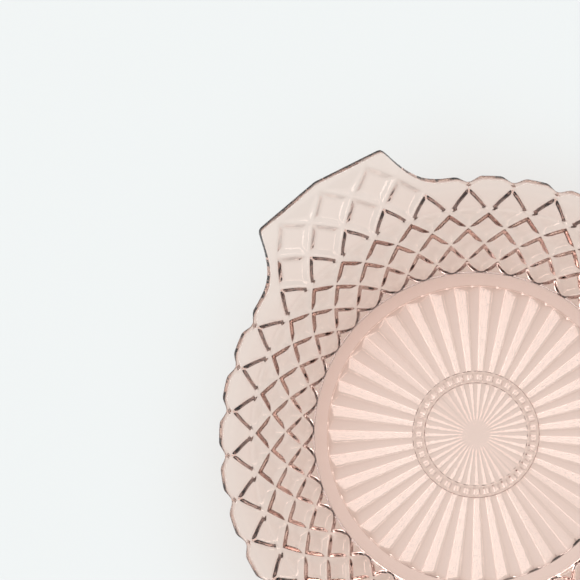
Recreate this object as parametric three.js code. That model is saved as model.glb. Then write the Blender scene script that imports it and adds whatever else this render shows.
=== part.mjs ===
// A two-handled candy dish of pressed pink glass, about 8 inches across its rim.
// The whole dish is one gob of glass pressed in one mould, so it is one solid in one mesh.
// Inside it is smooth. The pattern is pressed into the underside: diamonds between crossed
// V-grooves on the wall, the rim and the handles, and a sunburst inside the foot ring.
// Millimetres, +Z up. The origin is the centre of the foot's flat face, and the handles lie
// along +X and -X.
import * as THREE from "three";

// ---- Driving dimensions ----
const FACETS = 36; // diamonds in a row, rays in the sunburst and beads in the bead ring
const COLUMNS = FACETS * 4; // mesh columns round the dish, four to a facet
const HALF_FACET = 180 / FACETS; // degrees from a groove crossing to the middle of its diamond

const FOOT_INNER = 59.8; // flat ring that the dish stands on
const FOOT_OUTER = 64.6;
const FLOOR_TOP = 6.8; // inside floor above the table

const WALL_FOOT = { r: 65.5, z: 1.2 }; // where the patterned wall starts above the foot
const WALL_SLOPE_LOW = 40; // degrees above the table, at the foot
const WALL_SLOPE_HIGH = 52; // degrees above the table, at the crease below the rim
const WALL_RADIUS = 171.4; // of the arc that the wall follows
const WALL_THICKNESS = 4.4;
const WALL_ROWS = 4; // half-diamonds up the wall
const FLOOR_FILLET = 1.5; // inside, between the floor and the wall

const FLANGE_SLOPE = 21; // degrees, of the rim and the handles beyond the crease
const FLANGE_THICKNESS = 4.4;
const FLANGE_SWELL = 1.4; // extra thickness at the crease
const SWELL_REACH = 6.0; // beyond the crease over which most of the swell runs out
const FLANGE_PITCH = 8.4; // plan length of a half-diamond on the flange

const RIM_TIP = 101.6; // radius of the flat scallops
const RIM_NOTCH = 99.5; // radius at the bottom of the notch between two scallops
const SHOULDER = 2.5; // degrees from the middle of a notch to the flat of a scallop
const EDGE_INSET = 0.35; // how far the edge's rounded lower corner eats into the underside
const EDGE_RISE = 0.4; // height of that corner
const EDGE_LEAN = 1.6; // how far in the top of the edge is from its lower corner

const HANDLE_POINT = 118.4; // radius of the handle's middle point and of its two corners
const HANDLE_CORNER = 13.8; // degrees from the handle's middle to a corner
const HANDLE_ROOT = 27.5; // degrees from the handle's middle to where its side meets the rim
const HANDLE_SWEEP = 3.4; // how quickly the side curves in, as a power
const HANDLE_NOTCH = 30; // degrees to the first notch beside a handle
const CORNER_PULL = 0.6; // share of the way that mesh columns beside a corner move towards it

const WALL_GROOVE_DEPTH = 1.5;
const RIM_GROOVE_DEPTH = 1.9;
const HANDLE_GROOVE_DEPTH = 1.65;
const GROOVE_HALF_WIDTH = 0.5; // in half-diamonds
const HANDLE_PATTERN = 4; // half-facets each side of the handle's middle, at the rim
const BORDER_SHARE = 0.2; // of the groove depth: the border's dip where two outer diamonds meet

const RECESS = 0.4; // underside of the floor above the table, at the rays' crests
const RAY_OUTER = 59.3;
const VALLEY_END = 57.2; // where the valley between two rays turns up to the foot ring
const RAY_INNER = 25.3;
const RAY_RISE = 0.024; // depth of a ray's valley per millimetre of radius
const BEAD_OUTER = 24.8;
const BEAD_INNER = 21.2;
const BEAD_INSET = 0.8;
const BEAD_GROOVE = 1.2; // height of the ring grooves beside the beads
const STAR_OUTER = 20.6;
const STAR_INNER = 3.6;
const STAR_RECESS = 0.56; // underside of the star above the table, at its crests and its centre

const radians = THREE.MathUtils.degToRad;
const clamp = THREE.MathUtils.clamp;

// ---- Profile: the wall's arc and the flange's straight line ----
const slopeLow = radians(WALL_SLOPE_LOW);
const slopeHigh = radians(WALL_SLOPE_HIGH);
const slopeFlange = radians(FLANGE_SLOPE);
const wallCentre = new THREE.Vector2(
  WALL_FOOT.r - WALL_RADIUS * Math.sin(slopeLow),
  WALL_FOOT.z + WALL_RADIUS * Math.cos(slopeLow),
);

function wallPoint(slope, radius) {
  return new THREE.Vector2(
    wallCentre.x + radius * Math.sin(slope),
    wallCentre.y - radius * Math.cos(slope),
  );
}

const crease = wallPoint(slopeHigh, WALL_RADIUS);

function flangeUnder(r) {
  return crease.y + (r - crease.x) * Math.tan(slopeFlange);
}

function flangeTop(r) {
  const thickness = FLANGE_THICKNESS + FLANGE_SWELL * Math.exp((crease.x - r) / SWELL_REACH);
  return flangeUnder(r) + thickness / Math.cos(slopeFlange);
}

// ---- Outline of the rim and the handles ----
// Degrees from the middle of the nearer handle, 0 to 90.
function fromHandle(degrees) {
  const turned = ((degrees % 180) + 180) % 180;
  return Math.min(turned, 180 - turned);
}

function outlineRadius(degrees) {
  const h = fromHandle(degrees);
  if (h <= HANDLE_CORNER) {
    const half = HANDLE_CORNER / 2;
    return (HANDLE_POINT * Math.cos(radians(half))) / Math.cos(radians(h - half));
  }
  if (h < HANDLE_NOTCH - SHOULDER) {
    const share = Math.max(0, (HANDLE_ROOT - h) / (HANDLE_ROOT - HANDLE_CORNER));
    return RIM_TIP + (HANDLE_POINT - RIM_TIP) * share ** HANDLE_SWEEP;
  }
  const fromNotch = Math.abs(h - 2 * HALF_FACET * Math.round(h / (2 * HALF_FACET)));
  return RIM_NOTCH + (RIM_TIP - RIM_NOTCH) * Math.min(fromNotch / SHOULDER, 1);
}

// The two mesh columns beside a handle's corner close in on it at the outline, so that the
// corner keeps its shape.
function outlineAngle(degrees) {
  const past = fromHandle(degrees) - HANDLE_CORNER;
  if (Math.abs(past) > 360 / COLUMNS) return degrees;
  return degrees - CORNER_PULL * past * Math.sign(Math.sin(2 * radians(degrees)));
}

// ---- Relief ----
// A place on the lattice: row counts half-diamonds in from the rim's notches, and v counts
// half-facets round from the handle's middle. Grooves run where row + v or row - v is even.
function toEven(x) {
  return Math.abs(x - 2 * Math.round(x / 2));
}

function grooveShare(distance) {
  return 1 - clamp(distance / GROOVE_HALF_WIDTH, 0, 1);
}

function grooveDepth(row) {
  if (row < 0) return HANDLE_GROOVE_DEPTH;
  return row < 1 ? RIM_GROOVE_DEPTH : WALL_GROOVE_DEPTH;
}

// Share of the full groove depth at a place on the lattice: 0 on a raised diamond, 1 in a groove.
// The scallops and the handle's border lie as deep as the grooves.
function groove(row, degrees) {
  const v = fromHandle(degrees) / HALF_FACET;
  const between = grooveShare(Math.min(toEven(row + v), toEven(row - v)));
  const outerDiamond = Math.abs(row) + toEven(v + 1) < 1;
  const tabDiamond = Math.abs(row + 1) + toEven(v) < 1;
  const onHandle = v < HANDLE_PATTERN + Math.min(row, 0);
  if (row >= 1 || (row > 0 && !outerDiamond)) return between;
  if (onHandle && (outerDiamond || tabDiamond)) return between;
  if (row >= -1 || v >= 2) return 1;
  return Math.max(between, clamp(BORDER_SHARE - (1 - BORDER_SHARE) * (1 + row), BORDER_SHARE, 1));
}

// 1 on a ray's crest, 0 in its valley. Crests stand between the rim's notches.
function rayCrest(degrees) {
  return toEven(degrees / HALF_FACET);
}

// ---- Stations: one for each ring of the mesh, from the underside's centre, out over the rim
// and back to the inside floor's centre. Each gives radius, height and angle at a column. ----
function ring(r, z) {
  return { at: (degrees) => [r, z, degrees] };
}

function rayRing(r, low) {
  return { at: (degrees) => [r, low + (1 - rayCrest(degrees)) * RAY_RISE * r, degrees] };
}

function beadRing(r) {
  const height = BEAD_GROOVE - RECESS;
  return { at: (degrees) => [r, BEAD_GROOVE - height * rayCrest(degrees), degrees] };
}

function wallRing(row) {
  const share = (row - 1) / WALL_ROWS;
  const slope = slopeHigh + (slopeLow - slopeHigh) * share;
  return {
    row,
    at: (degrees) => {
      const cut = grooveDepth(row) * groove(row, degrees);
      return [...wallPoint(slope, WALL_RADIUS - cut).toArray(), degrees];
    },
  };
}

// Height of the flange's underside with its pattern.
function flangeHeight(r, degrees) {
  const row = 1 - (r - crease.x) / FLANGE_PITCH;
  return flangeUnder(r) + grooveDepth(row) * groove(row, degrees);
}

// Past the outline, a flange ring stops at the edge's lower corner.
function flangeRing(row) {
  return {
    row,
    at: (degrees) => {
      const angle = outlineAngle(degrees);
      const corner = outlineRadius(angle) - EDGE_INSET;
      const full = crease.x + FLANGE_PITCH * (1 - row);
      if (full < corner) return [full, flangeHeight(full, degrees), degrees];
      return [corner, flangeHeight(corner, degrees), angle];
    },
  };
}

function underside() {
  const rays = [
    ring(0, STAR_RECESS),
    ring(STAR_INNER, STAR_RECESS),
    rayRing(STAR_OUTER, STAR_RECESS),
    ring(BEAD_INNER, BEAD_GROOVE),
    beadRing(BEAD_INNER + BEAD_INSET),
    beadRing(BEAD_OUTER - BEAD_INSET),
    ring(BEAD_OUTER, BEAD_GROOVE),
    rayRing(RAY_INNER, RECESS),
    rayRing(VALLEY_END, RECESS),
    ring(RAY_OUTER, RECESS),
    ring(FOOT_INNER, 0),
    ring(FOOT_OUTER, 0),
  ];
  const wall = [];
  for (let row = 1 + WALL_ROWS; row >= 1; row -= 0.5) wall.push(wallRing(row));
  const flange = [];
  for (let row = 0.5; row >= -2.5; row -= 0.5) flange.push(flangeRing(row));
  return [...rays, ...wall, ...flange];
}

// The edge of the rim and the handles: a face that leans in above a rounded lower corner.
function edge() {
  return [
    {
      at: (degrees) => {
        const angle = outlineAngle(degrees);
        const r = outlineRadius(angle);
        return [r, flangeHeight(r, degrees) + EDGE_RISE, angle];
      },
    },
    {
      at: (degrees) => {
        const angle = outlineAngle(degrees);
        const r = outlineRadius(angle) - EDGE_LEAN;
        return [r, flangeTop(r), angle];
      },
    },
  ];
}

// Slope at which the inside of the wall meets the flange's upper face.
function insideCrease(wallInner) {
  let [low, high] = [slopeHigh, slopeHigh + radians(3)];
  for (let i = 0; i < 30; i++) {
    const slope = (low + high) / 2;
    const point = wallPoint(slope, wallInner);
    if (point.y < flangeTop(point.x)) low = slope;
    else high = slope;
  }
  return low;
}

function inside() {
  const wallInner = WALL_RADIUS - WALL_THICKNESS;
  const filletCentre = new THREE.Vector2(0, FLOOR_TOP + FLOOR_FILLET);
  const reach = wallInner - FLOOR_FILLET;
  const drop = wallCentre.y - filletCentre.y;
  filletCentre.x = wallCentre.x + Math.sqrt(reach ** 2 - drop ** 2);
  const filletEnd = Math.acos(drop / reach);
  const top = insideCrease(wallInner);
  const stations = [];
  const wallSteps = 4;
  for (let i = 0; i <= wallSteps; i++) {
    const slope = top + ((filletEnd - top) * i) / wallSteps;
    stations.push(ring(...wallPoint(slope, wallInner).toArray()));
  }
  const filletSteps = 3;
  for (let i = 1; i <= filletSteps; i++) {
    const slope = filletEnd * (1 - i / filletSteps);
    stations.push(
      ring(
        filletCentre.x + FLOOR_FILLET * Math.sin(slope),
        filletCentre.y - FLOOR_FILLET * Math.cos(slope),
      ),
    );
  }
  stations.push(ring(0, FLOOR_TOP));
  return stations;
}

// ---- The solid: a lathe of the plain profile, with each vertex then set by its station ----
function pressedGlass() {
  const stations = [...underside(), ...edge(), ...inside()];
  const profile = stations.map((station) => new THREE.Vector2(...station.at(90)));
  const geometry = new THREE.LatheGeometry(profile, COLUMNS);
  geometry.deleteAttribute("normal");
  geometry.deleteAttribute("uv");
  const position = geometry.getAttribute("position");
  for (let column = 0; column <= COLUMNS; column++) {
    const degrees = ((column % COLUMNS) * 360) / COLUMNS;
    stations.forEach((station, j) => {
      const [r, z, angle] = station.at(degrees);
      const x = r * Math.cos(radians(angle));
      const y = r * Math.sin(radians(angle));
      position.setXYZ(column * stations.length + j, x, y, z);
    });
  }
  alignDiagonals(geometry, stations);
  return geometry;
}

// Each square of the patterned rings is split along the nearer groove, so that every groove
// and bevel is a straight line of edges.
function alignDiagonals(geometry, stations) {
  const index = geometry.getIndex();
  const perColumn = stations.length - 1;
  for (let quad = 0; quad < COLUMNS * perColumn; quad++) {
    const column = Math.floor(quad / perColumn);
    const j = quad % perColumn;
    const a = column * stations.length + j;
    const [b, c, d] = [a + stations.length, a + stations.length + 1, a + 1];
    const v = ((column + 0.5) * 360) / COLUMNS / HALF_FACET;
    const row = (stations[j].row + stations[j + 1]?.row) / 2;
    const rising = toEven(row + v) < toEven(row - v);
    const corners = rising ? [a, b, c, a, c, d] : [a, b, d, b, c, d];
    corners.forEach((corner, k) => index.setX(quad * 6 + k, corner));
  }
}

const pinkGlass = new THREE.MeshStandardMaterial({
  color: 0xe9cfc4,
  roughness: 0.04,
  metalness: 0,
  transparent: true,
  opacity: 0.45,
});

const dish = new THREE.Mesh(pressedGlass(), pinkGlass);
dish.name = "dish";

const candyDish = new THREE.Group();
candyDish.add(dish);

export default candyDish;
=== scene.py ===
"""A two-handled candy dish of pressed pink glass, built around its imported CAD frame.

The dish is one piece of glass: smooth inside, with diamonds, a sunburst and a ring of beads
pressed into its underside. +Z is up and the handles lie along +X and -X. Sizes are in metres,
except in the sections whose heading says mm.

The pattern hangs on a lattice. Its columns are half a facet apart, counted from the axis of a
handle, and its rows run from 5 at the foot, over 1 at the crease below the rim and 0 at the
scallops' notches, to below 0 on the handles. Grooves run where column and row add up to, or
differ by, an even number. In the code v is a column, and r and z are radius and height.
"""
import math

import bpy
import numpy as np
from mathutils import Matrix, Vector


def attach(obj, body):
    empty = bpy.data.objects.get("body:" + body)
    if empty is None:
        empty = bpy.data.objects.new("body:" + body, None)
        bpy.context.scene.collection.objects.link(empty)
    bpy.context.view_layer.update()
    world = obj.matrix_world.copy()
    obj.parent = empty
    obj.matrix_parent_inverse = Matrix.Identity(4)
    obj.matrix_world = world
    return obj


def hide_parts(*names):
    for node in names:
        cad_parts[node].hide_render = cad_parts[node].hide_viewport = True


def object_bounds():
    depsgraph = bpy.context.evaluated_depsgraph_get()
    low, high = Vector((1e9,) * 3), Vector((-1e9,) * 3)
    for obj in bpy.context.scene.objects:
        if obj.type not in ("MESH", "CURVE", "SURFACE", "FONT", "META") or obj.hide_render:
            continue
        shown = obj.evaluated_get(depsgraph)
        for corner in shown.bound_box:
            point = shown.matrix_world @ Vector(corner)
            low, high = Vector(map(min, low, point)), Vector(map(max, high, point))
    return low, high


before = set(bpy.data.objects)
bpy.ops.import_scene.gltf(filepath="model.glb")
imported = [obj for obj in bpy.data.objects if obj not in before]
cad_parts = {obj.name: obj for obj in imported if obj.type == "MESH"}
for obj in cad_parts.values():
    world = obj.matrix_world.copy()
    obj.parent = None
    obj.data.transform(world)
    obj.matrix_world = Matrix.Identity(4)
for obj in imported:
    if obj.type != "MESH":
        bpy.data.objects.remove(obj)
CAD_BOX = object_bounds()

MM = 0.001

# ---- Pattern ----
FACETS = 36  # diamonds in a row, rays in the sunburst, beads in the bead ring
STEPS = 10  # mesh steps to a half-diamond, both ways
HALF_FACET = 180 / FACETS  # degrees, from a groove crossing to the middle of its diamond
COLUMNS = FACETS * 2 * STEPS

# ---- Base, mm ----
FOOT_INNER = 59.8
FOOT_OUTER = 64.6
FOOT_BEVEL = (0.2, 0.05)  # width and height of its outer edge's bevel
FOOT_STEP = (65.0, 0.7)  # radius and height of the top of the foot ring's outer side
FLOOR_TOP = 6.8
RECESS = 0.4  # the rays' crests above the table
RAY_OUTER = 59.3
VALLEY_END = 57.2  # where the valley between two rays turns up to the foot ring
RAY_INNER = 25.3
RAY_RISE = 0.024  # depth of a ray's valley per millimetre of radius
VALLEY_NOTCH = 0.12  # half-width of the sharp line in each valley, in half-diamonds
NOTCH_RISE = 0.005  # depth that the line adds, per millimetre of radius
BEAD_OUTER = 24.8
BEAD_INNER = 21.2
BEAD_INSET = 0.8  # width of the slope between a bead and the ring grooves beside it
BEAD_GROOVE = 1.2  # height of the ring grooves
BEAD_GAP = 1.1  # height between two beads
STAR_OUTER = 20.6
STAR_RECESS = 0.56  # the star's crests and its centre above the table
STAR_INNER = 1.5  # where the star's valleys start
STAR_FADE = 4.5  # radius over which they reach their full depth
BREAK_WIDTH = 0.07  # to each side over which an edge in the base is rounded
GUARD = 0.3  # from such an edge to a ring that keeps the face beyond it flat
DRAW_IN = 1.6  # power that draws the mesh's columns to the crests and valleys

# ---- Wall and flange, mm and degrees ----
WALL_FOOT = (65.5, 1.2)  # radius and height at which the patterned wall starts
WALL_SLOPE_LOW = 40  # at the foot
WALL_SLOPE_HIGH = 52  # at the crease below the rim
WALL_RADIUS = 171.4  # of the arc that the wall follows
WALL_THICKNESS = 4.4
WALL_ROWS = 4  # half-diamonds up the wall
FLOOR_FILLET = 0.8  # inside, between the floor and the wall
FLOOR_SHARES = (0.98, 0.5, 0)  # of the floor's radius, at which its rings lie
BEND_REACH = 0.5  # of the bend inside, from its corner each way
BEND_SEARCH = 2  # beyond the wall's steepest slope within which the bend's corner lies
FLANGE_SLOPE = 21  # of the rim and the handles beyond the crease
FLANGE_THICKNESS = 4.4
FLANGE_SWELL = 1.4  # extra thickness at the crease
SWELL_REACH = 6.0  # beyond the crease over which most of the swell runs out
FLANGE_PITCH = 8.4  # plan length of a half-diamond on the flange
LAST_ROW = -2.6  # of the lattice, beyond the handle's furthest point
CREASE_SOFTNESS = 0.06  # rows to each side over which the crease is rounded

# ---- Outline, mm and degrees ----
RIM_TIP = 101.6  # radius of the scallops
RIM_NOTCH = 99.5  # radius at the bottom of the notch between two scallops
SHOULDER = 2.8  # from the middle of a notch to the flat of a scallop
NOTCH_FLAT = 0.3  # from the middle of a notch to the foot of its side
HANDLE_POINT = CAD_BOX[1][0] / MM  # radius of the handle's middle point and of its corners
HANDLE_CORNER = 13.8  # from the handle's middle to a corner
HANDLE_ROOT = 27.5  # from the handle's middle to where its side meets the rim
HANDLE_SWEEP = 3.4  # how quickly the side curves in, as a power
HANDLE_NOTCH = 30  # from the handle's middle to the first notch beside it
CORNER_ROUND = 1.1  # softness of the handle's corners
EDGE_RADIUS = 0.5  # of the two corners of the edge
EDGE_LEAN = 19  # that the edge leans in from square to the flange
EDGE_START = 68  # from the flange's slope down to where the rounding of the lower corner starts

# ---- Grooves, mm and rows or columns of the lattice ----
GROOVE_ROWS = (-1, -0.1, 0.1, 0.9, 1.2, 4.6, 5)  # at which the two lists below hold
GROOVE_DEPTHS = (1.55, 1.55, 1.95, 1.95, 1.75, 1.75, 0.7)
GROOVE_HALF_WIDTHS = (0.46, 0.46, 0.38, 0.38, 0.46, 0.48, 0.42)
GROOVE_ROUNDING = 0.05  # to each side over which a groove's edges are rounded
PILLOW = 0.3  # height that a diamond's face would lose from its middle to its grooves
CUT_ROWS = (0.7, 1.1, 4.4, 5)  # at which CUT_SLOPES holds
HANDLE_PATTERN = 4  # columns from the handle's axis to the end of its pattern, at row 0
BORDER_REACH = 2  # columns from the handle's axis within which its border is shallower
BORDER_SHARE = 0.2  # of the groove depth: the depth of the shallower border at row -1

# ---- Detail of the mesh: rings across each part, samples and tries ----
STAR_RINGS = 4
RAY_RINGS = 1
RAY_END_RINGS = 2
LOWER_CORNER_RINGS = 4
UPPER_CORNER_RINGS = 5
BEND_RINGS = 4
WALL_RINGS = 9
FILLET_RINGS = 4
CREASE_SAMPLES = 7
GROOVE_SAMPLES = 5
SEARCH_SAMPLES = 400
EDGE_TRIES = 4  # to find where the leaning edge meets the top
MERGE_DIGITS = 7  # of a metre, in which points that are merged agree

SLOPE_LOW = math.radians(WALL_SLOPE_LOW)
SLOPE_HIGH = math.radians(WALL_SLOPE_HIGH)
SLOPE_FLANGE = math.radians(FLANGE_SLOPE)
CUT_SLOPES = (SLOPE_FLANGE, SLOPE_HIGH, SLOPE_HIGH, 0.1)  # that grooves are cut square to
WALL_CENTRE = (
    WALL_FOOT[0] - WALL_RADIUS * math.sin(SLOPE_LOW),
    WALL_FOOT[1] + WALL_RADIUS * math.cos(SLOPE_LOW),
)
CREASE = (
    WALL_CENTRE[0] + WALL_RADIUS * math.sin(SLOPE_HIGH),
    WALL_CENTRE[1] - WALL_RADIUS * math.cos(SLOPE_HIGH),
)

DEGREES = np.arange(COLUMNS) * 360 / COLUMNS


# ---- Profile ----
def wall_point(slope, radius=WALL_RADIUS):
    """Radius and height of the place where an arc round the wall's centre has a slope."""
    return (
        WALL_CENTRE[0] + radius * np.sin(slope),
        WALL_CENTRE[1] - radius * np.cos(slope),
    )


def flange_under(r):
    return CREASE[1] + (r - CREASE[0]) * math.tan(SLOPE_FLANGE)


def flange_top(r):
    thickness = FLANGE_THICKNESS + FLANGE_SWELL * np.exp((CREASE[0] - r) / SWELL_REACH)
    return flange_under(r) + thickness / math.cos(SLOPE_FLANGE)


def plain_under(row):
    """Radius and height of the underside without its pattern, at a row of the lattice."""
    slope = SLOPE_HIGH + (SLOPE_LOW - SLOPE_HIGH) * (row - 1) / WALL_ROWS
    wall_r, wall_z = wall_point(slope)
    flange_r = CREASE[0] + FLANGE_PITCH * (1 - row)
    on_wall = row > 1
    return (
        np.where(on_wall, wall_r, flange_r),
        np.where(on_wall, wall_z, flange_under(flange_r)),
    )


def soft_under(row):
    """plain_under with its crease rounded."""
    offsets = np.linspace(-CREASE_SOFTNESS, CREASE_SOFTNESS, CREASE_SAMPLES)
    points = [plain_under(row + offset) for offset in offsets]
    r = np.mean([point[0] for point in points], axis=0)
    z = np.mean([point[1] for point in points], axis=0)
    return r, z


# ---- Outline ----
def from_handle(degrees):
    """Degrees from the axis of the nearer handle."""
    turned = np.mod(degrees, 180)
    return np.minimum(turned, 180 - turned)


def outline_radius(degrees):
    """Radius of the outline: a tab at each handle, and scallops round the rest."""
    away = from_handle(degrees)
    half = math.radians(HANDLE_CORNER / 2)
    chord = HANDLE_POINT * math.cos(half) / np.cos(np.radians(away) - half)
    share = np.clip((HANDLE_ROOT - away) / (HANDLE_ROOT - HANDLE_CORNER), 0, None)
    side = RIM_TIP + (HANDLE_POINT - RIM_TIP) * share**HANDLE_SWEEP
    tab = -CORNER_ROUND * np.log(np.exp(-chord / CORNER_ROUND) + np.exp(-side / CORNER_ROUND))
    facet = 2 * HALF_FACET
    from_notch = np.abs(away - facet * np.round(away / facet))
    rise = np.clip((from_notch - NOTCH_FLAT) / (SHOULDER - NOTCH_FLAT), 0, 1)
    eased = rise * rise * (3 - 2 * rise)
    scallop = RIM_NOTCH + (RIM_TIP - RIM_NOTCH) * (0.5 * rise + 0.5 * eased)
    return np.where(away < HANDLE_NOTCH - SHOULDER, tab, scallop)


OUTLINE = outline_radius(DEGREES)


# ---- Relief ----
def to_even(x):
    """Distance to the nearest even number."""
    return np.abs(x - 2 * np.round(x / 2))


def to_groove(row, v):
    """Distance from the nearer groove's line, as a row or a column counts it."""
    return np.minimum(to_even(row + v), to_even(row - v))


def groove_share(distance, row):
    """Share of the full depth at a distance from a groove's line, with softened edges."""
    half_width = np.interp(row, GROOVE_ROWS, GROOVE_HALF_WIDTHS)
    offsets = np.linspace(-GROOVE_ROUNDING, GROOVE_ROUNDING, GROOVE_SAMPLES)
    cuts = [np.clip(1 - np.abs(distance + offset) / half_width, 0, 1) for offset in offsets]
    return np.mean(cuts, axis=0)


def roundness(row, degrees):
    """From 0 in the middle of a wall diamond to 1 at its grooves, and less towards the rim."""
    v = from_handle(degrees) / HALF_FACET
    return np.clip(row, 0, 1) * (1 - to_groove(row, v)) ** 2


def groove(row, degrees):
    """Share of the full groove depth at a place on the lattice: 0 on a diamond, 1 in a groove.

    The scallops and the handles' borders are as deep as the grooves. Near a handle's axis
    the border is shallower: it goes from BORDER_SHARE at row -1 to the full depth at row -2.
    """
    v = from_handle(degrees) / HALF_FACET
    between = groove_share(to_groove(row, v), row)
    outer_diamond = np.abs(row) + to_even(v + 1) < 1
    tab_diamond = np.abs(row + 1) + to_even(v) < 1
    on_handle = v < HANDLE_PATTERN + np.minimum(row, 0)
    raised = (row >= 1) | ((row > 0) & ~outer_diamond)
    raised = raised | ((outer_diamond | tab_diamond) & on_handle)
    dip = np.clip(BORDER_SHARE - (1 - BORDER_SHARE) * (1 + row), BORDER_SHARE, 1)
    border = np.where((row < -1) & (v < BORDER_REACH), dip, 1)
    return np.where(raised, between, np.maximum(border, between))


# ---- Rings of the mesh. Each is radius and height, in mm, and angle, at every column. ----
def full(value):
    """The same value at every column."""
    return np.full(COLUMNS, float(value))


def drawn_in(degrees):
    """Columns drawn closer to the crests and valleys, so that both stay sharp."""
    v = degrees / HALF_FACET
    offset = v - np.round(v)
    return (np.round(v) + np.sign(offset) * np.abs(2 * offset) ** DRAW_IN / 2) * HALF_FACET


def base_height(r, degrees):
    """Height of the underside inside the foot ring: star, ring of beads, sunburst, foot."""
    crest = to_even(degrees / HALF_FACET)
    notch = np.clip(1 - crest / VALLEY_NOTCH, 0, 1)
    valley = ((1 - crest) * RAY_RISE + notch * NOTCH_RISE) * r
    closing = RAY_RISE * VALLEY_END * (RAY_OUTER - r) / (RAY_OUTER - VALLEY_END)
    star = STAR_RECESS + valley * np.clip((r - STAR_INNER) / STAR_FADE, 0, 1)
    rays = RECESS + np.minimum(valley, np.maximum(closing, 0))
    rays = np.where(r > RAY_OUTER, np.interp(r, [RAY_OUTER, FOOT_INNER], [RECESS, 0]), rays)
    top = BEAD_GAP - (BEAD_GAP - RECESS) * np.sqrt(crest)
    middle = (BEAD_INNER + BEAD_OUTER) / 2
    inset = np.abs(r - middle) - ((BEAD_OUTER - BEAD_INNER) / 2 - BEAD_INSET)
    bead = top + (BEAD_GROOVE - top) * np.clip(inset / BEAD_INSET, 0, 1)
    return np.where(r <= STAR_OUTER, star, np.where(r >= RAY_INNER, rays, bead))


def base_rings():
    """The underside from the star's centre to the top of the foot ring's outer side."""
    breaks = [STAR_OUTER, BEAD_INNER, BEAD_INNER + BEAD_INSET, BEAD_OUTER - BEAD_INSET]
    breaks += [BEAD_OUTER, RAY_INNER, VALLEY_END, RAY_OUTER, FOOT_INNER]
    radii = [edge + side * BREAK_WIDTH for edge in breaks for side in (-1, 1)]
    radii += [STAR_OUTER - GUARD, RAY_INNER + GUARD, VALLEY_END - GUARD, FOOT_INNER + GUARD]
    radii += list(np.linspace(STAR_INNER, STAR_OUTER, STAR_RINGS + 1)[:-1])
    radii += list(np.linspace(RAY_INNER, VALLEY_END, RAY_RINGS + 2)[1:-1])
    radii += list(np.linspace(VALLEY_END, RAY_OUTER, RAY_END_RINGS + 2)[1:-1])
    degrees = drawn_in(DEGREES)
    rings = [(full(0), full(STAR_RECESS), degrees)]
    for r in sorted(radii):
        rings.append((full(r), base_height(r, degrees), degrees))
    width, height = FOOT_BEVEL
    for r, z in ((FOOT_OUTER - width, 0), (FOOT_OUTER, height), FOOT_STEP):
        rings.append((full(r), full(z), DEGREES))
    return rings


def patterned_rings():
    """The underside of the wall, the rim and the handles, cut off at the outline."""
    rings = []
    rows = np.arange((1 + WALL_ROWS) * STEPS, round(LAST_ROW * STEPS) - 1, -1) / STEPS
    inset = EDGE_RADIUS * (1 - math.sin(SLOPE_FLANGE))
    limit = OUTLINE - inset + GROOVE_DEPTHS[0] * math.sin(SLOPE_FLANGE)
    limit_row = 1 - (limit - CREASE[0]) / FLANGE_PITCH
    for row in rows:
        reached = np.maximum(np.full(COLUMNS, row), limit_row)
        r, z = soft_under(reached)
        slope = np.interp(reached, CUT_ROWS, CUT_SLOPES)
        cut = np.interp(reached, GROOVE_ROWS, GROOVE_DEPTHS) * groove(reached, DEGREES)
        cut = np.maximum(cut, PILLOW * roundness(reached, DEGREES))
        rings.append((r - cut * np.sin(slope), z + cut * np.cos(slope), DEGREES))
    return rings


def corner_rings(r, z, angles):
    """Rings round a corner of the edge, from its centre."""
    rings = []
    for angle in angles:
        reach_r = EDGE_RADIUS * math.cos(angle)
        reach_z = EDGE_RADIUS * math.sin(angle)
        rings.append((r + reach_r, z + reach_z, DEGREES))
    return rings


def edge_rings(last_under):
    """The rim's edge: a face that leans in, with a rounded corner above and below."""
    face = SLOPE_FLANGE + math.radians(EDGE_LEAN)
    low_r = last_under[0] - EDGE_RADIUS * math.sin(SLOPE_FLANGE)
    low_z = last_under[1] + EDGE_RADIUS * math.cos(SLOPE_FLANGE)
    drop = EDGE_RADIUS / math.cos(SLOPE_FLANGE)
    top_r = OUTLINE - EDGE_RADIUS
    for _ in range(EDGE_TRIES):
        top_r = low_r - (flange_top(top_r) - drop - low_z) * math.tan(face)
    top_z = flange_top(top_r) - drop
    lower = np.linspace(SLOPE_FLANGE - math.radians(EDGE_START), face, LOWER_CORNER_RINGS)
    upper = np.linspace(face, SLOPE_FLANGE + math.radians(90), UPPER_CORNER_RINGS)
    return corner_rings(low_r, low_z, lower) + corner_rings(top_r, top_z, upper)


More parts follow.
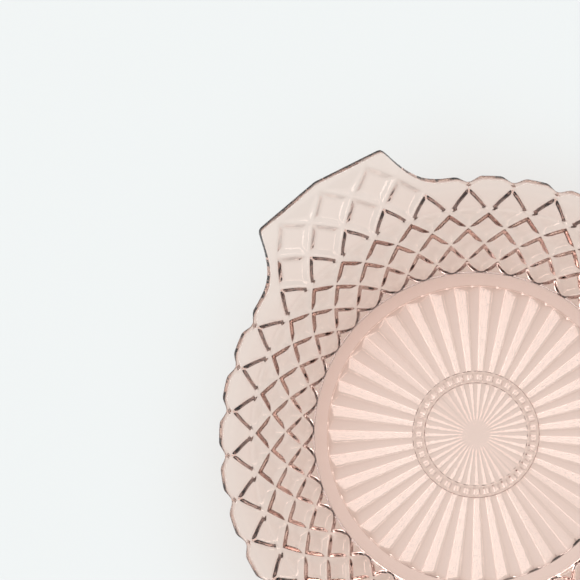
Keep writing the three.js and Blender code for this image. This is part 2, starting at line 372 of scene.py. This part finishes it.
def inner_rings():
    """The smooth inside, from the flange down to the floor's centre."""
    wall_inner = WALL_RADIUS - WALL_THICKNESS
    reach = wall_inner - FLOOR_FILLET
    fillet_z = FLOOR_TOP + FLOOR_FILLET
    drop = WALL_CENTRE[1] - fillet_z
    fillet_r = WALL_CENTRE[0] + math.sqrt(reach**2 - drop**2)
    fillet_end = math.acos(drop / reach)
    slopes = SLOPE_HIGH + np.linspace(0, math.radians(BEND_SEARCH), SEARCH_SAMPLES)
    r, z = wall_point(slopes, wall_inner)
    meeting = np.argmin(np.abs(z - flange_top(r)))
    corner = np.array([r[meeting], z[meeting]])
    wall_end = slopes[meeting] - BEND_REACH / wall_inner
    out_r = corner[0] + BEND_REACH * math.cos(SLOPE_FLANGE)
    start = np.array([out_r, flange_top(out_r)])
    end = np.array(wall_point(wall_end, wall_inner))
    points = []
    for t in np.linspace(0, 1, BEND_RINGS + 1)[:-1]:
        points.append((1 - t) ** 2 * start + 2 * t * (1 - t) * corner + t * t * end)
    for slope in np.linspace(wall_end, fillet_end, WALL_RINGS):
        points.append(wall_point(slope, wall_inner))
    for slope in np.linspace(fillet_end, 0, FILLET_RINGS + 1)[1:]:
        r = fillet_r + FLOOR_FILLET * math.sin(slope)
        points.append((r, fillet_z - FLOOR_FILLET * math.cos(slope)))
    for share in FLOOR_SHARES:
        points.append((fillet_r * share, FLOOR_TOP))
    return [(full(r), full(z), DEGREES) for r, z in points]


# ---- Mesh ----
def joined(rings, first_patterned, last_patterned):
    """Triangles between the rings. In the pattern, each quad is split along the nearer groove."""
    faces = []
    column = np.arange(COLUMNS)
    after = (column + 1) % COLUMNS
    v = (column + 0.5) / STEPS
    for j in range(len(rings) - 1):
        a, b = j * COLUMNS + column, j * COLUMNS + after
        d, c = a + COLUMNS, b + COLUMNS
        rising = np.zeros(COLUMNS, dtype=bool)
        if first_patterned <= j < last_patterned:
            row = 1 + WALL_ROWS - (j - first_patterned + 0.5) / STEPS
            rising = to_even(row + v) < to_even(row - v)
        first = np.where(rising, [a, b, c], [a, b, d])
        second = np.where(rising, [a, c, d], [b, c, d])
        faces += [first.T, second.T]
    return np.concatenate(faces)


def glass_mesh():
    """One closed surface, from the middle of the base over the rim to the middle of the floor."""
    under = base_rings()
    first_patterned = len(under)
    under += patterned_rings()
    last_patterned = len(under) - 1
    rings = under + edge_rings(under[-1]) + inner_rings()
    angle = np.radians([ring[2] for ring in rings])
    r = np.array([ring[0] for ring in rings]) * MM
    z = np.array([ring[1] for ring in rings]) * MM
    points = np.stack([r * np.cos(angle), r * np.sin(angle), z], axis=-1).reshape(-1, 3)
    merged, index = np.unique(np.round(points, MERGE_DIGITS), axis=0, return_inverse=True)
    faces = index.reshape(-1)[joined(rings, first_patterned, last_patterned)]
    a, b, c = faces.T
    faces = faces[(a != b) & (b != c) & (c != a)]
    mesh = bpy.data.meshes.new("pressed_dish")
    mesh.from_pydata(merged.tolist(), [], faces.tolist())
    mesh.validate()
    mesh.shade_smooth()
    return mesh


# ---- Glass. Pairs of heights, in mm, run from where something starts to where it is full. ----
GLASS_TINT = (0.97, 0.864, 0.803, 1)
GLASS_INDEX = 1.52
ABSORPTION = (0.89, 0.45, 0.32, 1)
ABSORPTION_DENSITY = 18.7
WAVES = {"Scale": 90, "Detail": 2}
WAVE_STRENGTH = 0.5
WAVE_HEIGHT = 0.00012
SCUFFS = {"Scale": 700, "Detail": 6}
SCUFF_LEVELS = (0.5, 0.7)  # of the scuffs' noise, from unworn to worn
FOOT_WEAR = (0.15, 0.02)  # of the scuffs, down the foot ring
ROUGHNESS = (0.012, 0.12)  # of glass as it left the mould, and of worn glass
CREST_HIGHLIGHT_ABOVE = (0.48, 0.42)  # painted highlight on the crests, by height, coming down to them
CREST_HIGHLIGHT_BELOW = (0.32, 0.38)  # and coming up to them
CREST_HIGHLIGHT_TRANSMISSION = 0.6  # share of the light that a crest lets in under its painted highlight; the rest shows as a pale diffuse line
PASSES = (  # light that gets straight through a face, by how level it is: wall, flange, floor
    (0.8, (0.88, 0.81, 0.775)),
    (0.93, (0.82, 0.745, 0.705)),
    (0.962, (0.995, 0.975, 0.966)),
)


def in_metres(limits):
    return [limit * MM for limit in limits]


def add_noise(nodes, links, place, settings):
    noise = nodes.new("ShaderNodeTexNoise")
    for name, value in settings.items():
        noise.inputs[name].default_value = value
    links.new(place.outputs["Object"], noise.inputs["Vector"])
    return noise.outputs["Fac"]


def add_range(nodes, links, value, limits, results=(0, 1)):
    """A node that takes a value from between two limits to between two results."""
    mapped = nodes.new("ShaderNodeMapRange")
    links.new(value, mapped.inputs["Value"])
    mapped.inputs["From Min"].default_value, mapped.inputs["From Max"].default_value = limits
    mapped.inputs["To Min"].default_value, mapped.inputs["To Max"].default_value = results
    return mapped


def add_surface_detail(nodes, links, shader):
    """Slow waves left by fire-polishing, a foot ring scuffed by use, and a painted highlight:
    crests made partly diffuse so that they show as pale lines.
    """
    place = nodes.new("ShaderNodeTexCoord")
    bump = nodes.new("ShaderNodeBump")
    bump.inputs["Strength"].default_value = WAVE_STRENGTH
    bump.inputs["Distance"].default_value = WAVE_HEIGHT
    links.new(add_noise(nodes, links, place, WAVES), bump.inputs["Height"])
    links.new(bump.outputs["Normal"], shader.inputs["Normal"])

    split = nodes.new("ShaderNodeSeparateXYZ")
    links.new(place.outputs["Object"], split.inputs["Vector"])
    height = split.outputs["Z"]
    on_foot = add_range(nodes, links, height, in_metres(FOOT_WEAR))
    worn = add_range(nodes, links, add_noise(nodes, links, place, SCUFFS), SCUFF_LEVELS)
    wear = nodes.new("ShaderNodeMath")
    wear.operation = "MULTIPLY"
    links.new(on_foot.outputs["Result"], wear.inputs[0])
    links.new(worn.outputs["Result"], wear.inputs[1])
    roughness = add_range(nodes, links, wear.outputs["Value"], (0, 1), ROUGHNESS)
    links.new(roughness.outputs["Result"], shader.inputs["Roughness"])

    # Painted highlight: the crests and the beads' tops let less light through and show a pale
    # diffuse line, in place of light gathered beneath them.
    highlight_above = add_range(nodes, links, height, in_metres(CREST_HIGHLIGHT_ABOVE))
    crest_highlight = add_range(nodes, links, height, in_metres(CREST_HIGHLIGHT_BELOW))
    links.new(highlight_above.outputs["Result"], crest_highlight.inputs["To Max"])
    crest_transmission = add_range(nodes, links, crest_highlight.outputs["Result"], (0, 1), (1, CREST_HIGHLIGHT_TRANSMISSION))
    links.new(crest_transmission.outputs["Result"], shader.inputs["Transmission Weight"])


def set_ramp(ramp, stops):
    """Gives a colour ramp its places and colours."""
    elements = ramp.color_ramp.elements
    while len(elements) < len(stops):
        elements.new(0.5)
    for element, (place, colour) in zip(elements, stops):
        element.position = place
        element.color = (*colour, 1)


def straight_through(nodes, links):
    """A clear shader that darkens light by how far its face is from level."""
    face = nodes.new("ShaderNodeNewGeometry")
    upward = nodes.new("ShaderNodeVectorMath")
    upward.operation = "DOT_PRODUCT"
    upward.inputs[1].default_value = (0, 0, 1)
    links.new(face.outputs["Normal"], upward.inputs[0])
    level = nodes.new("ShaderNodeMath")
    level.operation = "ABSOLUTE"
    links.new(upward.outputs["Value"], level.inputs[0])
    passed = nodes.new("ShaderNodeValToRGB")
    set_ramp(passed, PASSES)
    links.new(level.outputs["Value"], passed.inputs["Fac"])
    clear = nodes.new("ShaderNodeBsdfTransparent")
    links.new(passed.outputs["Color"], clear.inputs["Color"])
    return clear


def glass_material():
    """Glass that bends what is seen through it, and lets light on its way to the table by."""
    material = bpy.data.materials.new("pink_pressed_glass")
    material.use_nodes = True
    nodes = material.node_tree.nodes
    links = material.node_tree.links
    shader = nodes["Principled BSDF"]
    shader.inputs["Base Color"].default_value = GLASS_TINT
    shader.inputs["IOR"].default_value = GLASS_INDEX
    add_surface_detail(nodes, links, shader)
    absorption = nodes.new("ShaderNodeVolumeAbsorption")
    absorption.inputs["Color"].default_value = ABSORPTION
    absorption.inputs["Density"].default_value = ABSORPTION_DENSITY
    links.new(absorption.outputs["Volume"], nodes["Material Output"].inputs["Volume"])
    light_path = nodes.new("ShaderNodeLightPath")
    lets_light_by = nodes.new("ShaderNodeMath")
    lets_light_by.operation = "MAXIMUM"
    links.new(light_path.outputs["Is Shadow Ray"], lets_light_by.inputs[0])
    links.new(light_path.outputs["Is Diffuse Ray"], lets_light_by.inputs[1])
    mix = nodes.new("ShaderNodeMixShader")
    links.new(lets_light_by.outputs["Value"], mix.inputs["Fac"])
    links.new(shader.outputs["BSDF"], mix.inputs[1])
    links.new(straight_through(nodes, links).outputs["BSDF"], mix.inputs[2])
    links.new(mix.outputs["Shader"], nodes["Material Output"].inputs["Surface"])
    return material


def make_dish():
    dish = bpy.data.objects.new("pressed_dish", glass_mesh())
    bpy.context.scene.collection.objects.link(dish)
    dish.data.materials.append(glass_material())
    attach(dish, "root")
    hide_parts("dish")


# ---- Stage ----
CAMERA_TURN = math.radians(123.4)  # the +X handle points this far round from the picture's right
CAMERA_HEIGHT = 0.742
CAMERA_ASIDE = 0.0744  # the camera stands to the left of the dish's centre
CAMERA_ABOVE = 0.05775  # and above it, as the picture shows it
LENS = 114.7  # focal length, mm
SENSOR = 36  # width, mm
SKY = (  # brightness of the room by the height of the way to it, from the horizon to straight up
    (0.0, (0.09, 0.03, 0.018)),
    (0.25, (0.15, 0.075, 0.05)),
    (0.5, (0.58, 0.59, 0.6)),
    (0.8, (0.97, 0.99, 1.0)),
    (1.0, (0.5, 0.51, 0.52)),
)
SKY_STRENGTH = 1.1
SOFTBOX_SIDE = (-1, 1)  # the way to the softbox: to the picture's left, and up it
SOFTBOX_HALF = (-0.25, 0.25)  # from dark to bright, along that way
SOFTBOX_LOW = (0.38, 0.52)  # from dark to bright, by height, at its lower side
SOFTBOX_HIGH = (0.84, 0.72)  # and at its upper side
SOFTBOX_STRENGTH = 5.6
SOFTBOX_COLOUR = (0.97, 0.99, 1.0, 1)
BACKDROP = (0.88, 0.91, 0.91, 1)
TABLE_REACH = 1.5  # from its middle to a side
TABLE_GAP = 0.0001  # below the foot
TABLE_COLOUR = (0.488, 0.498, 0.493, 1)
TABLE_ROUGHNESS = 0.9


def table_material():
    material = bpy.data.materials.new("pale_table")
    material.use_nodes = True
    shader = material.node_tree.nodes["Principled BSDF"]
    shader.inputs["Base Color"].default_value = TABLE_COLOUR
    shader.inputs["Roughness"].default_value = TABLE_ROUGHNESS
    shader.inputs["Specular IOR Level"].default_value = 0
    return material


def make_table():
    sides = ((-1, -1), (1, -1), (1, 1), (-1, 1))
    corners = [(x * TABLE_REACH, y * TABLE_REACH, -TABLE_GAP) for x, y in sides]
    mesh = bpy.data.meshes.new("table")
    mesh.from_pydata(corners, [], [(0, 1, 2, 3)])
    table = bpy.data.objects.new("table", mesh)
    table.data.materials.append(table_material())
    bpy.context.scene.collection.objects.link(table)


def picture_to_world(right, up, height):
    """A place given as the picture shows it, seen from above."""
    turn = -CAMERA_TURN
    return (
        right * math.cos(turn) - up * math.sin(turn),
        right * math.sin(turn) + up * math.cos(turn),
        height,
    )


def softbox_strength(nodes, links, direction, height):
    """Brightness of the softbox, a band across half of the sky with soft borders."""
    across = nodes.new("ShaderNodeVectorMath")
    across.operation = "DOT_PRODUCT"
    across.inputs[1].default_value = Vector(picture_to_world(*SOFTBOX_SIDE, 0)).normalized()
    links.new(direction, across.inputs[0])
    side = add_range(nodes, links, across.outputs["Value"], SOFTBOX_HALF, (0, SOFTBOX_STRENGTH))
    low = add_range(nodes, links, height, SOFTBOX_LOW)
    high = add_range(nodes, links, height, SOFTBOX_HIGH)
    for border in (side, low, high):
        border.interpolation_type = "SMOOTHSTEP"
    links.new(side.outputs["Result"], low.inputs["To Max"])
    links.new(low.outputs["Result"], high.inputs["To Max"])
    return high.outputs["Result"]


def make_world():
    """A soft sky and a softbox, behind a plain backdrop that only the camera sees."""
    world = bpy.data.worlds.new("studio")
    world.use_nodes = True
    nodes = world.node_tree.nodes
    links = world.node_tree.links
    coordinates = nodes.new("ShaderNodeTexCoord")
    direction = coordinates.outputs["Generated"]
    split = nodes.new("ShaderNodeSeparateXYZ")
    links.new(direction, split.inputs["Vector"])
    height = split.outputs["Z"]
    ramp = nodes.new("ShaderNodeValToRGB")
    set_ramp(ramp, SKY)
    links.new(height, ramp.inputs["Fac"])
    sky = nodes["Background"]
    sky.inputs["Strength"].default_value = SKY_STRENGTH
    links.new(ramp.outputs["Color"], sky.inputs["Color"])
    glow = nodes.new("ShaderNodeBackground")
    glow.inputs["Color"].default_value = SOFTBOX_COLOUR
    links.new(softbox_strength(nodes, links, direction, height), glow.inputs["Strength"])
    both = nodes.new("ShaderNodeAddShader")
    links.new(sky.outputs["Background"], both.inputs[0])
    links.new(glow.outputs["Background"], both.inputs[1])
    backdrop = nodes.new("ShaderNodeBackground")
    backdrop.inputs["Color"].default_value = BACKDROP
    light_path = nodes.new("ShaderNodeLightPath")
    seen = nodes.new("ShaderNodeMixShader")
    links.new(light_path.outputs["Is Camera Ray"], seen.inputs["Fac"])
    links.new(both.outputs["Shader"], seen.inputs[1])
    links.new(backdrop.outputs["Background"], seen.inputs[2])
    links.new(seen.outputs["Shader"], nodes["World Output"].inputs["Surface"])
    bpy.context.scene.world = world


def make_camera():
    camera = bpy.data.cameras.new("camera")
    camera.lens = LENS
    camera.sensor_width = SENSOR
    camera.clip_start = 0.01
    view = bpy.data.objects.new("camera", camera)
    place = picture_to_world(-CAMERA_ASIDE, CAMERA_ABOVE, CAMERA_HEIGHT)
    view.matrix_world = Matrix.Translation(place) @ Matrix.Rotation(-CAMERA_TURN, 4, "Z")
    bpy.context.scene.collection.objects.link(view)
    bpy.context.scene.camera = view


make_dish()
make_table()
make_world()
make_camera()

scene = bpy.context.scene
scene.view_settings.view_transform = "Standard"
scene.cycles.max_bounces = 24
scene.cycles.transmission_bounces = 20
scene.cycles.glossy_bounces = 4  # more reflections inside the glass than this end dark
